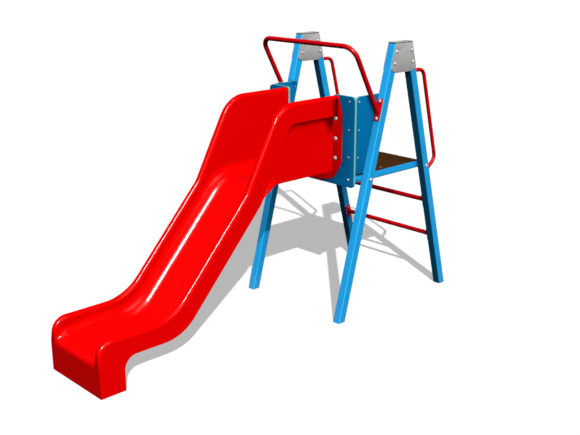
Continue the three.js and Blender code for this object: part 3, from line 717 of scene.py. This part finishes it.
def chute_section(depth, floor, skirt, fade, flare):
    """Half of the shell's section as (x, height above the under line), from the middle of the
    underside, out over the skirt and the rim, and down into the trough. The lip under the
    trough's fillet is whole where `fade` is 0 and gone where it is 1; `flare` turns it out."""
    wall = max(depth - floor, 0.0008)
    rim = min(RIM_ROUND, wall * 0.45)
    rise = max(min(TROUGH_FILLET, wall - rim * 1.1), wall * 0.1)
    under = floor - SHELL
    under_rise = min(rise + SHELL, wall * 0.9)
    flat_half = TROUGH_HALF - TROUGH_FILLET
    outside, inside = TROUGH_HALF + SHELL, CHUTE_HALF - SHELL
    lip_turn = lerp(math.asin(TROUGH_FILLET / (TROUGH_FILLET + SHELL)), math.pi / 2, fade)
    faded = under + under_rise
    room = max(depth - SHELL - faded, 0)
    bevel = min(0.010, room * 0.4)
    clear = depth - rim - floor - rise  # the wall's flat stretch
    guard = min(0.005, clear * 0.3)
    edge = SKIRT_ROUND
    low_h, high_h = skirt + edge, depth - rim  # the skirt's flat stretch
    return [
        (0, under),
        *arc(10, lambda t: (flat_half + (outside - flat_half) * math.sin(t),
                            under + under_rise * (1 - math.cos(t))), lip_turn),
        *lip_edge(TROUGH_HALF + 0.001, outside, flare, LIP_ROUND, fade, faded,
                  min(room, 0.02) * 0.04),
        (outside, depth - SHELL - bevel), (outside + bevel, depth - SHELL),
        (inside - bevel, depth - SHELL), (inside, depth - SHELL - bevel),
        (inside, low_h),
        *arc(5, lambda t: (CHUTE_HALF - edge * (1 - math.sin(t)), low_h - edge * math.cos(t))),
        *((CHUTE_HALF, lerp(low_h, high_h, part)) for part in (0.02, 0.5, 0.98)),
        *arc(8, lambda t: (CHUTE_HALF - rim * (1 - math.cos(t)), high_h + rim * math.sin(t))),
        *arc(8, lambda t: (TROUGH_HALF + rim * (1 - math.sin(t)), high_h + rim * math.cos(t))),
        (TROUGH_HALF, high_h - guard),
        (TROUGH_HALF, floor + rise + guard),
        *arc(16, lambda t: (flat_half + TROUGH_FILLET * math.cos(t),
                            floor + rise * (1 - math.sin(t)))),
        (flat_half * 0.95, floor),
        (flat_half * 0.5, floor),
        (0, floor),
    ]


def chute_stations():
    """Slices that lean with the slide: pairs of points on the under line and the rim line. The
    small lengths added to the bends pair each stretch with one as steep on the other line."""
    under_top, under_foot, under_rear = UNDER_LINE.bends
    rim_top, rim_knee, rim_foot, rim_nose = RIM_LINE.bends
    spans = [  # steps, under from, under to, rim from, rim to
        (10, 0, rim_top[0], 0, rim_top[0]),
        (16, rim_top[0], under_top[0], rim_top[0], rim_top[1]),
        (26, under_top[0], under_top[1], rim_top[1], rim_knee[0]),
        (6, under_top[1], under_top[1] + 0.018, rim_knee[0], rim_knee[1]),
        (10, under_top[1] + 0.018, under_foot[0] - 0.070, rim_knee[1], rim_foot[0]),
        (30, under_foot[0] - 0.070, under_foot[1] + 0.079, rim_foot[0], rim_foot[1]),
        (6, under_foot[1] + 0.079, under_rear[0], rim_foot[1], rim_nose[0] - 0.135),
        (8, under_rear[0], under_rear[0] + 0.050, rim_nose[0] - 0.135, rim_nose[0]),
        (22, under_rear[0] + 0.050, under_rear[1], rim_nose[0], rim_nose[1]),
        (20, under_rear[1], under_rear[1] + 0.060, rim_nose[1], rim_nose[1] + 0.110),
        (4, under_rear[1] + 0.060, UNDER_LINE.length, rim_nose[1] + 0.110, RIM_LINE.length),
    ]
    pairs = [
        (u0 + (u1 - u0) * k / steps, r0 + (r1 - r0) * k / steps)
        for steps, u0, u1, r0, r1 in spans for k in range(steps)
    ]
    pairs.append((UNDER_LINE.length, RIM_LINE.length))
    return [(UNDER_LINE.at(u), RIM_LINE.at(r)) for u, r in pairs]


def ease(value, low, high):
    """A smooth step from 0 at `low` to 1 at `high`."""
    share = min(max((value - low) / (high - low), 0), 1)
    return share * share * (3 - 2 * share)


def chute_loop(under, rim):
    """The shell's whole section in the slice between those two points."""
    depth = (rim - under).length
    up = (rim - under) / depth
    floor = FLOOR_LINE.meet(under, up, UNDER)
    floor = depth if floor is None else min(floor, depth)
    skirt = SKIRT_LINE.meet(under, up, depth)
    skirt = max(skirt, 0) if skirt is not None else 0
    fade = ease(under.x, LIP_FADE, LIP_END)
    flare = FLARE * ease(under.x, FLARE_START, FLARE_FULL)
    half = chute_section(depth, floor, skirt, fade, flare)
    other = [(-x, h) for x, h in reversed(half[1:-1])]
    return [
        Vector((x, MIDDLE_Y - under.x - up.x * h, under.y + up.y * h)) for x, h in half + other
    ]


def chute_flange():
    """Outline in X and Z of the plate that bolts to the front board."""
    inner = TROUGH_HALF + SHELL / 2
    bottom = START_FLOOR_Z - SHELL / 2
    right = [
        (0.123, 0.944, 0.050), (0.235, 0.972, 0.080), (0.311, 1.090, 0.130),
        (0.311, 1.440, 0.150), (0.277, RIM_Z - SHELL / 2, 0.010),
    ]
    left = [(-x, *rest) for x, *rest in reversed(right)]
    return rounded([
        *right, (inner, RIM_Z - SHELL / 2), (inner, bottom, TROUGH_FILLET),
        (-inner, bottom, TROUGH_FILLET), (-inner, RIM_Z - SHELL / 2), *left,
    ], True, 14)


def make_chute():
    shell = Build()
    shell.loft([chute_loop(under, rim) for under, rim in chute_stations()])
    back_y = MIDDLE_Y - CHUTE_START - FLANGE
    upright = Matrix(((1, 0, 0, 0), (0, 0, 1, back_y), (0, 1, 0, 0), (0, 0, 0, 1)))
    shell.slab(chute_flange(), FLANGE, upright, 0.002)
    shell.piece("chute_shell", RED, "slide_red", ["chute"], 38)


make_chute()


# ---- Bars ---------------------------------------------------------------------------------------
BAR_RADIUS = 0.0337 / 2
HANDLE_RADIUS = 0.0269 / 2
LUG = 0.005  # a lug's thickness
LUG_WIDTH = 0.050
LUG_CORNER = 0.008
WELD_BEAD = 0.0028
WELD_POINTS = 36


def add_lug(build, origin, along, out, length, width=LUG_WIDTH):
    outline = rounded([
        (x * length / 2, y * width / 2, LUG_CORNER) for x, y in ((-1, -1), (1, -1), (1, 1), (-1, 1))
    ])
    build.slab(outline, LUG, laid(origin + out * GAP, along, out))


def add_weld(build, end, way, radius, origin, out):
    """The bead where a bar that comes in along `way` meets the plane of a lug."""
    across = way.orthogonal().normalized()
    ring = ring_about(end, radius, across, way.cross(across), WELD_POINTS)
    build.bead([p + way * ((origin - p).dot(out) / way.dot(out)) for p in ring], WELD_BEAD)


RUNG_LUG_LENGTH = 0.105


def make_rung(number):
    low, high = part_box(f"rung_{number}")
    centre = (low + high) / 2
    half = high.x - LUG / 2
    build = Build()
    build.tube([Vector((x, centre.y, centre.z)) for x in (-half, half)], BAR_RADIUS)
    for side in SIDES.values():
        face = on_leg(side * LEG_INNER_X, 1, centre.z)
        inward = Vector((-side, 0, 0))
        add_lug(build, face, along_leg(1), inward, RUNG_LUG_LENGTH)
        seat = face + inward * (LUG + GAP)
        add_weld(build, Vector((0, centre.y, centre.z)), inward, BAR_RADIUS, seat, inward)
    build.piece(f"rung_bar_{number}", BAR_RED, "bar_red", [f"rung_{number}"])


HOOP_LUG_Z = 1.454
HOOP_LUG_LENGTH = 0.152
HOOP_BOLT_REACH = 0.060  # from the lug's middle
HOOP_BOLT_RADIUS = 0.012
HOOP_FOOT_X = 0.445
HOOP_FOOT_DROP = 0.008  # below the lug's middle
HOOP_BEND = 0.090
HOOP_LEAN = math.radians(29.5)


def make_hoop():
    out = out_of_leg(-1)
    foot = on_leg_edge(HOOP_FOOT_X, -1, HOOP_LUG_Z - HOOP_FOOT_DROP) + out * LUG / 2
    top_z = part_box("hoop")[1].z - BAR_RADIUS
    top = Vector((foot.x, foot.y - (top_z - foot.z) * math.tan(HOOP_LEAN), top_z))
    flip = Vector((-1, 1, 1))
    start = foot + out * BAR_RADIUS / 2
    path = bent([start, top, top * flip, start * flip], HOOP_BEND)
    build = Build()
    build.tube(path, BAR_RADIUS)
    for side in SIDES.values():
        face = on_leg_edge(side * LEG_MIDDLE_X, -1, HOOP_LUG_Z)
        add_lug(build, face, along_leg(-1), out, HOOP_LUG_LENGTH)
        end, way = (path[0], path[1] - path[0]) if side > 0 else (path[-1], path[-2] - path[-1])
        add_weld(build, end, way.normalized(), BAR_RADIUS, face + out * (LUG + GAP), out)
    build.piece("hoop_bar", BAR_RED, "bar_red", ["hoop"])


HANDLE_TOP_Z, HANDLE_LOW_Z = 1.688, 0.944  # the middles of the lugs
HANDLE_LOW_BEND_Z = 1.018
HANDLE_REACH = 0.112
HANDLE_BEND = 0.060
HANDLE_LUG_LENGTH, HANDLE_LUG_WIDTH = 0.070, 0.036


def make_handle(side_name, side):
    x = side * LEG_MIDDLE_X
    out = out_of_leg(1)
    top, low = (on_leg_edge(x, 1, z) + out * LUG for z in (HANDLE_TOP_Z, HANDLE_LOW_Z))
    grips = [
        Vector((x, MIDDLE_Y + outer_reach(z) + HANDLE_REACH, z))
        for z in (HANDLE_TOP_Z, HANDLE_LOW_BEND_Z)
    ]
    path = bent([top, *grips, low], HANDLE_BEND)
    build = Build()
    build.tube(path, HANDLE_RADIUS, 28)
    ways = (HANDLE_TOP_Z, top, path[1] - path[0]), (HANDLE_LOW_Z, low, path[-2] - path[-1])
    for z, end, way in ways:
        face = on_leg_edge(x, 1, z)
        add_lug(build, face, along_leg(1), out, HANDLE_LUG_LENGTH, HANDLE_LUG_WIDTH)
        add_weld(build, end, way.normalized(), HANDLE_RADIUS, face + out * (LUG + GAP), out)
    build.piece(f"handle_bar_{side_name}", BAR_RED, "bar_red", [f"handle_{side_name}"])


for number in (1, 2):
    make_rung(number)
make_hoop()
for side_name, side in SIDES.items():
    make_handle(side_name, side)


# ---- Fasteners ----------------------------------------------------------------------------------
def hex_ring(width, height, matrix, sides=36):
    """A hexagon's outline, `width` across its flats, with as many points as a round ring."""
    points = []
    for turn in ring_turns(sides):
        off = (turn + math.pi / 6) % (math.pi / 3) - math.pi / 6  # from the nearest flat's middle
        radius = width / 2 / math.cos(off)
        points.append(matrix @ Vector((radius * math.cos(turn), radius * math.sin(turn), height)))
    return points


def add_cap_nut(build, seat, out, radius):
    """A washer, a hexagon and a domed top, standing on the seat."""
    matrix = aimed(seat, out)
    washer, flats, waist = radius * 0.16, radius * 1.62, radius * 0.5
    build.turned([(0, 0), (radius * 0.97, 0), (radius, washer * 0.3), (radius, washer * 0.75),
                  (radius * 0.96, washer), (0, washer)], matrix, 36)
    dome, height = radius * 0.74, radius * 0.62
    shoulder = waist + 0.0004
    curve = arc(8, lambda t: (max(dome * math.cos(t), TINY), shoulder + height * math.sin(t)))
    build.loft([
        hex_ring(flats, washer, matrix),
        hex_ring(flats, waist - 0.0006, matrix),
        round_ring(flats * 0.5, waist, matrix),
        *(round_ring(ring_radius, level, matrix) for ring_radius, level in curve),
    ])


def add_dome_head(build, seat, out, radius):
    """A mushroom head on a thin washer."""
    matrix = aimed(seat, out)
    washer, dome, height = radius * 0.12, radius * 0.92, radius * 0.6
    curve = arc(9, lambda t: (dome * math.cos(t), washer + height * math.sin(t)))
    build.turned([(0, 0), (radius * 0.97, 0), (radius, washer * 0.4), (radius, washer * 0.8),
                  (radius * 0.98, washer), *curve], matrix, 36)


def add_button_head(build, seat, out, radius):
    """A button head with a socket."""
    matrix = aimed(seat, out)
    height, socket = radius * 0.62, radius * 0.3
    curve = arc(8, lambda t: (radius * math.cos(t), height * (0.2 + 0.8 * math.sin(t))))[:7]
    top = curve[-1][1]
    build.turned([(0, 0), (radius, 0), *curve, (socket, top + height * 0.03),
                  (socket * 0.92, top - height * 0.4), (0, top - height * 0.45)], matrix, 36)


BLIND_DEPTH = 0.022  # how far a bolt with no nut goes in
SHANK_RADIUS = 0.004


def replace_bolt(node, ends, radius=None):
    """`ends` are the (seat, direction) of the bolt's head and, if it has one, of its nut."""
    low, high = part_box(node)
    radius = radius or sorted(high - low)[1] / 2
    build = Build()
    add_dome_head(build, *ends[0], radius)
    for seat, out in ends[1:]:
        add_cap_nut(build, seat, out, radius * 0.9)
    shank = [seat for seat, _ in ends]
    if len(shank) == 1:
        shank.append(shank[0] - ends[0][1] * BLIND_DEPTH)
    build.tube(shank, SHANK_RADIUS, 16)
    build.piece(f"{node}_steel", STEEL, "bolt_steel", [node], 30)


def through_bolt(node):
    """A bolt right through along X, with its head outside, or along Y, with its head in front."""
    low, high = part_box(node)
    size, centre = high - low, (low + high) / 2
    axis = max(range(3), key=lambda i: size[i])
    radius = sorted(size)[1] / 2
    out = Vector((0, 0, 0))
    out[axis] = math.copysign(1, centre.x) if axis == 0 else -1
    reach = size[axis] / 2 - radius * 0.72  # the heads stand that high
    replace_bolt(node, [(centre + out * reach, out), (centre - out * reach, -out)])


for side_name, side in SIDES.items():
    for end in ENDS:
        through_bolt(f"rail_bolt_{end}_{side_name}")
        for number in (1, 2):
            through_bolt(f"apex_bolt_{end}_{side_name}_{number}")
    for number in (1, 2, 3):
        through_bolt(f"slide_bolt_{side_name}_{number}")
    for number in range(1, 5):
        node = f"rung_bolt_{side_name}_{number}"
        low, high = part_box(node)
        seat = (low + high) / 2
        seat.x = side * (LEG_INNER_X - LUG - 2 * GAP)
        replace_bolt(node, [(seat, Vector((-side, 0, 0)))])
    out = out_of_leg(-1)
    middle = on_leg_edge(side * LEG_MIDDLE_X, -1, HOOP_LUG_Z) + out * (LUG + 2 * GAP)
    for number, way in ((1, -1), (2, 1)):
        seat = middle + along_leg(-1) * way * HOOP_BOLT_REACH
        replace_bolt(f"hoop_bolt_{side_name}_{number}", [(seat, out)], HOOP_BOLT_RADIUS)


FRONT_FACE_Y, FRONT_BACK_Y = (corner.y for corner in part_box("front_board"))
SIDE_BACK_X, SIDE_FACE_X = (corner.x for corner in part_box("side_board_right"))
DECK_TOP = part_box("deck_board")[1].z
GUARD_SCREW_X = 0.370
GUARD_SCREW_RUN = 0.373  # forward of the A-frames' middle
GUARD_SCREW_Z = (1.523, 1.331, 1.142)
COACH_BOLT_Z = 0.984
LEG_SCREW_Z = (1.516, 1.290, 1.064)
LEG_SCREW_OFFSET = 0.012  # forward of the leg's centre line
DECK_SCREW_X = 0.350
DECK_SCREW_Y = (-0.372, -0.05, 0.310)  # from the A-frames' middle
HANDLE_SCREW_REACH = 0.026  # from the lug's middle


def add_screws(name, seats, radius, add=add_button_head):
    """A group of screws: `seats` gives the (seat, direction) of each one on a side, 1 or -1."""
    build = Build()
    for side in SIDES.values():
        for seat, out in seats(side):
            add(build, seat, out, radius)
    build.piece(name, STEEL, "bolt_steel", (), 30)


def front_board_seats(side, heights):
    return [(Vector((side * GUARD_SCREW_X, FRONT_FACE_Y, z)), Vector((0, -1, 0))) for z in heights]


def side_board_seats(side):
    run = MIDDLE_Y - GUARD_SCREW_RUN
    return [(Vector((side * SIDE_FACE_X, run, z)), Vector((side, 0, 0))) for z in GUARD_SCREW_Z]


def leg_screw_seats(side):
    return [
        (Vector((side * SIDE_BACK_X, MIDDLE_Y - middle_reach(z) - LEG_SCREW_OFFSET, z)),
         Vector((-side, 0, 0)))
        for z in LEG_SCREW_Z
    ]


def deck_seats(side):
    return [
        (Vector((side * DECK_SCREW_X, MIDDLE_Y + y, DECK_TOP)), Vector((0, 0, 1)))
        for y in DECK_SCREW_Y
    ]


def handle_seats(side):
    out = out_of_leg(1)
    return [
        (on_leg_edge(side * LEG_MIDDLE_X, 1, z) + along_leg(1) * reach + out * (LUG + GAP), out)
        for z, reach in ((HANDLE_TOP_Z, -HANDLE_SCREW_REACH), (HANDLE_LOW_Z, HANDLE_SCREW_REACH))
    ]


add_screws("front_board_screws", lambda side: front_board_seats(side, GUARD_SCREW_Z),
           0.0065, add_dome_head)
add_screws("front_board_coach_bolts", lambda side: front_board_seats(side, [COACH_BOLT_Z]),
           0.0095, add_dome_head)
add_screws("side_board_screws", side_board_seats, 0.0065, add_dome_head)
add_screws("side_board_leg_screws", leg_screw_seats, 0.0055)
add_screws("deck_screws", deck_seats, 0.005)
add_screws("handle_screws", handle_seats, 0.005)


# ---- Corner angles behind the guard boards ------------------------------------------------------
ANGLE_LEG, ANGLE_METAL = 0.040, 0.003
ANGLE_LOW_Z, ANGLE_HIGH_Z = 1.030, 1.545


def make_corner_angle(side_name, side):
    leg, metal, edge = ANGLE_LEG, ANGLE_METAL, 0.001
    outline = rounded([
        (0, 0), (leg, 0, edge), (leg, metal, edge), (metal, metal, 0.004), (metal, leg, edge),
        (0, leg, edge),
    ], True, 4)
    matrix = Matrix((
        (-side, 0, 0, side * (SIDE_BACK_X - GAP)), (0, 1, 0, FRONT_BACK_Y + GAP),
        (0, 0, 1, ANGLE_LOW_Z), (0, 0, 0, 1),
    ))
    build = Build()
    build.slab(outline, ANGLE_HIGH_Z - ANGLE_LOW_Z, matrix, 0.0006, 2)
    build.piece(f"corner_angle_{side_name}", ZINC, "plate_grey")


for side_name, side in SIDES.items():
    make_corner_angle(side_name, side)


# ---- Floor, light and camera --------------------------------------------------------------------
KEY_LIGHT = Vector((0.654, -0.475, 0.589))
STREAK_LIGHT = Vector((-0.01, -0.629, 0.777))  # leaves the highlight along the trough
SIDE_FILL = Vector((0.75, 0, 0.66))
BACK_FILL = Vector((-0.69, 0.66, -0.29))
KEY_ANGLE, STREAK_ANGLE, FILL_ANGLE = 0.6, 18, 30  # the suns' widths in degrees
BACK_STRENGTH = 1.6
STREAK_STRENGTH = 3.0
GROUND_STRENGTH = 3.1
WORLD_STRENGTH = 0.006
LIGHTING = {  # the key's strength with and without shadows, and the fills' directions and strengths
    "chute": (0.5, 1.5, [(Vector((0, -0.18, 0.98)), 1.95), (SIDE_FILL, 1.5)]),
    "frame": (1.55, 0.45, [(Vector((0, -0.36, 0.93)), 2.06), (SIDE_FILL, 1.3)]),
    "rest": (1.55, 0.45, [(Vector((0, -0.25, 0.97)), 1.2), (SIDE_FILL, 1.5)]),
}
WHITE = (1.0, 1.0, 1.0, 1.0)
PAPER = (0.95, 0.95, 0.95, 1.0)
STAGE_RADIUS = 60.0
SHADOW_GLOW = 0.47  # the floor's brightness in a shadow
LENS = 55.3
SENSOR = 36.0
CAMERA_X, CAMERA_RUN, CAMERA_Z = 4.385, 4.787, 2.523  # its run is forward of the A-frames' middle
CAMERA_TURN, CAMERA_DROP = math.radians(46.41), math.radians(16.98)


def make_stage_piece(name, points, faces, glow):
    """A pale, unglossy part of the studio, with that much light of its own."""
    made = Finish(name, Roughness=0.9, Specular_IOR_Level=0.0)
    made.put(made.shader, {
        "Base Color": made.tint(PAPER, 0.004, 0.7),
        "Emission Color": WHITE,
        "Emission Strength": glow,
    })
    mesh = bpy.data.meshes.new(name)
    mesh.from_pydata(points, [], faces)
    mesh.materials.append(made.material)
    piece = bpy.data.objects.new(name, mesh)
    bpy.context.scene.collection.objects.link(piece)
    piece.visible_diffuse = False  # it throws no light back on the object
    piece.visible_glossy = False
    piece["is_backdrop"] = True
    return piece


def make_floor():
    half = STAGE_RADIUS * 1.1
    corners = [(-half, -half, 0), (half, -half, 0), (half, half, 0), (-half, half, 0)]
    return make_stage_piece("floor", corners, [(0, 1, 2, 3)], SHADOW_GLOW)


def make_backdrop():
    """A white wall all round, far off, for the views that look over the floor's edge."""
    sides = 64
    points = [
        (STAGE_RADIUS * math.cos(turn), STAGE_RADIUS * math.sin(turn), z)
        for z in (-0.01, STAGE_RADIUS)
        for turn in ring_turns(sides)
    ]
    faces = []
    for k in range(sides):
        after = (k + 1) % sides
        faces.append((k, after, sides + after, sides + k))
    wall = make_stage_piece("backdrop", points, faces, 1.0)
    wall.visible_shadow = False
    return wall


def add_sun(name, toward, strength, angle, lit):
    """A sun that shines only on the objects of the collection `lit`."""
    sun = bpy.data.lights.new(name, "SUN")
    sun.energy = strength
    sun.angle = math.radians(angle)
    lamp = bpy.data.objects.new(name, sun)
    lamp.rotation_mode = "QUATERNION"
    lamp.rotation_quaternion = toward.to_track_quat("Z", "Y")
    lamp.light_linking.receiver_collection = lit
    bpy.context.scene.collection.objects.link(lamp)
    return lamp


def make_light(floor, backdrop):
    """Suns, each shining on the chute, the blue frame, the other pieces or the floor."""
    groups = {name: bpy.data.collections.new(f"lit_{name}") for name in LIGHTING}
    ground = bpy.data.collections.new("lit_ground")
    ground.objects.link(floor)
    for thing in bpy.context.scene.objects:
        if thing.type == "MESH" and thing not in (floor, backdrop):
            name = {RED: "chute", BLUE: "frame"}.get(thing.data.materials[0], "rest")
            groups[name].objects.link(thing)
            thing.visible_diffuse = False  # no colour from one part on the next
            thing.visible_glossy = False
    for name, (shaded, open_share, fills) in LIGHTING.items():
        lit = groups[name]
        key = add_sun(f"key_{name}", KEY_LIGHT, shaded, KEY_ANGLE, lit)
        key.visible_glossy = name != "chute"
        open_key = add_sun(f"open_key_{name}", KEY_LIGHT, open_share, KEY_ANGLE, lit)
        open_key.visible_glossy = name != "chute"
        open_key.data.use_shadow = False  # keeps form in the shadows
        for number, (toward, strength) in enumerate(fills):
            fill = add_sun(f"fill_{name}_{number}", toward, strength, FILL_ANGLE, lit)
            fill.visible_glossy = False  # only the key leaves highlights
            fill.data.use_shadow = name != "chute"
        back = add_sun(f"back_{name}", BACK_FILL, BACK_STRENGTH, FILL_ANGLE, lit)
        back.visible_glossy = False
        back.data.use_shadow = False  # the floor is in its way
    streak = add_sun("streak", STREAK_LIGHT, STREAK_STRENGTH, STREAK_ANGLE, groups["chute"])
    streak.visible_diffuse = False
    add_sun("ground_key", KEY_LIGHT, GROUND_STRENGTH, KEY_ANGLE, ground)
    world = bpy.data.worlds.new("studio")
    bpy.context.scene.world = world
    world.use_nodes = True
    background = world.node_tree.nodes["Background"]
    background.inputs["Color"].default_value = WHITE
    background.inputs["Strength"].default_value = WORLD_STRENGTH


def make_camera():
    lens = bpy.data.cameras.new("camera")
    lens.sensor_width = SENSOR
    lens.lens = LENS
    camera = bpy.data.objects.new("camera", lens)
    camera.location = (CAMERA_X, MIDDLE_Y - CAMERA_RUN, CAMERA_Z)
    camera.rotation_mode = "QUATERNION"
    level = math.cos(CAMERA_DROP)
    ahead = Vector((
        -math.sin(CAMERA_TURN) * level, math.cos(CAMERA_TURN) * level, -math.sin(CAMERA_DROP),
    ))
    camera.rotation_quaternion = ahead.to_track_quat("-Z", "Y")
    bpy.context.scene.collection.objects.link(camera)
    bpy.context.scene.camera = camera


make_light(make_floor(), make_backdrop())
make_camera()
bpy.context.scene.view_settings.view_transform = "Standard"

low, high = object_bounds()
